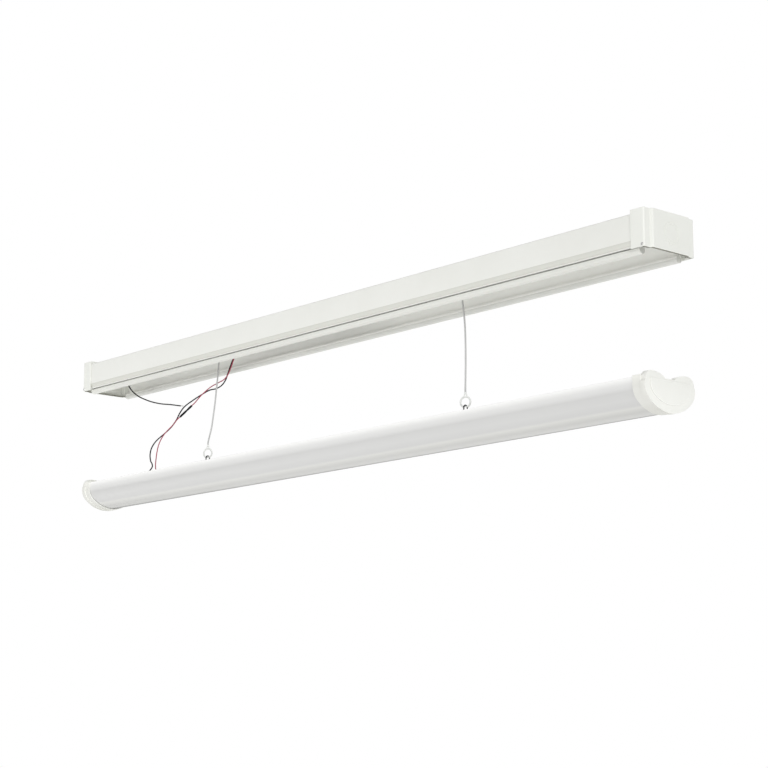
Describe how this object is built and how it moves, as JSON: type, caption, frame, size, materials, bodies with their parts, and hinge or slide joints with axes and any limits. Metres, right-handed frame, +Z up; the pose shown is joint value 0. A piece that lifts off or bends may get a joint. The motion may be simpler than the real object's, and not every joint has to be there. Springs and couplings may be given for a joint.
{
  "type": "hanging shop light",
  "caption": "Ceiling strip light: a steel channel with end caps, and an LED bar with an opal diffuser hung below on tethers with its leads exposed.",
  "frame": {"origin": "middle of the two ceiling slots, on the ceiling plane", "axes": "+Z up into the ceiling, +X along the light towards the end without the supply entry, -Y towards the front"},
  "size_m": [1.2262, 0.0928, 0.2425],
  "materials": {
    "white_paint": "semi-gloss white enamel",
    "cap_paint": "semi-gloss white enamel",
    "steel_screw": "zinc plated",
    "black_nylon": "matt",
    "cream_plastic": "satin",
    "brass_screw": "plain",
    "green_screw": "dyed",
    "black_insulation": "smooth vinyl",
    "red_insulation": "smooth vinyl",
    "galvanised": "zinc coated sheet",
    "driver_paint": "satin white",
    "board_green": "solder mask",
    "dark_plastic": "matt",
    "white_nylon": "satin",
    "tether_vinyl": "soft sheen",
    "tin_plate": "tinned",
    "dark_wire": "black oxide",
    "spring_steel": "bright rolled",
    "board_white": "white solder mask",
    "led_phosphor": "matt",
    "opal_acrylic": "opal satin",
    "white_plastic": "satin moulded"
  },
  "bodies": {
    "housing": {"channel": "white_paint", "housing_cap_left": "cap_paint", "housing_cap_right": "cap_paint", "housing_cap_screws": "steel_screw", "feed_bushing": "black_nylon", "terminal_block": "cream_plastic", "terminal_screws": "brass_screw", "ground_screw": "green_screw", "supply_leads": "black_insulation", "driver_base": "galvanised", "driver_case": "driver_paint", "driver_board": "board_green", "driver_components": "dark_plastic", "driver_bushings": "black_nylon", "driver_screws": "steel_screw", "tether_anchor_left": "white_nylon", "tether_anchor_right": "white_nylon", "tether_left": "tether_vinyl", "tether_right": "tether_vinyl", "lead_black": "black_insulation", "lead_red_upper": "red_insulation", "red_splice": "black_insulation", "lead_red_lower": "red_insulation", "lead_tap": "black_insulation", "tap_ferrule": "tin_plate"},
    "light_bar": {"hook_left": "white_nylon", "hook_right": "white_nylon", "bail_left": "dark_wire", "bail_right": "dark_wire", "tray": "white_paint", "spring_clips": "spring_steel", "clip_rivets": "steel_screw", "tray_bushings": "black_nylon", "input_connector": "cream_plastic", "led_board_1": "board_white", "led_board_2": "board_white", "led_board_3": "board_white", "led_board_4": "board_white", "leds": "led_phosphor", "board_links": "cream_plastic", "board_screws": "steel_screw", "lens": "opal_acrylic", "bar_cap_left": "white_plastic", "bar_cap_right": "white_plastic"}
  },
  "joints": [
    {"name": "bar_lift", "type": "slide", "parent": "housing", "child": "light_bar", "axis": [0, 0, 1], "range_m": [0, 0.15], "deforming": ["tether_left", "tether_right", "lead_black", "lead_red_upper", "red_splice", "lead_red_lower", "lead_tap", "tap_ferrule"]}
  ]
}
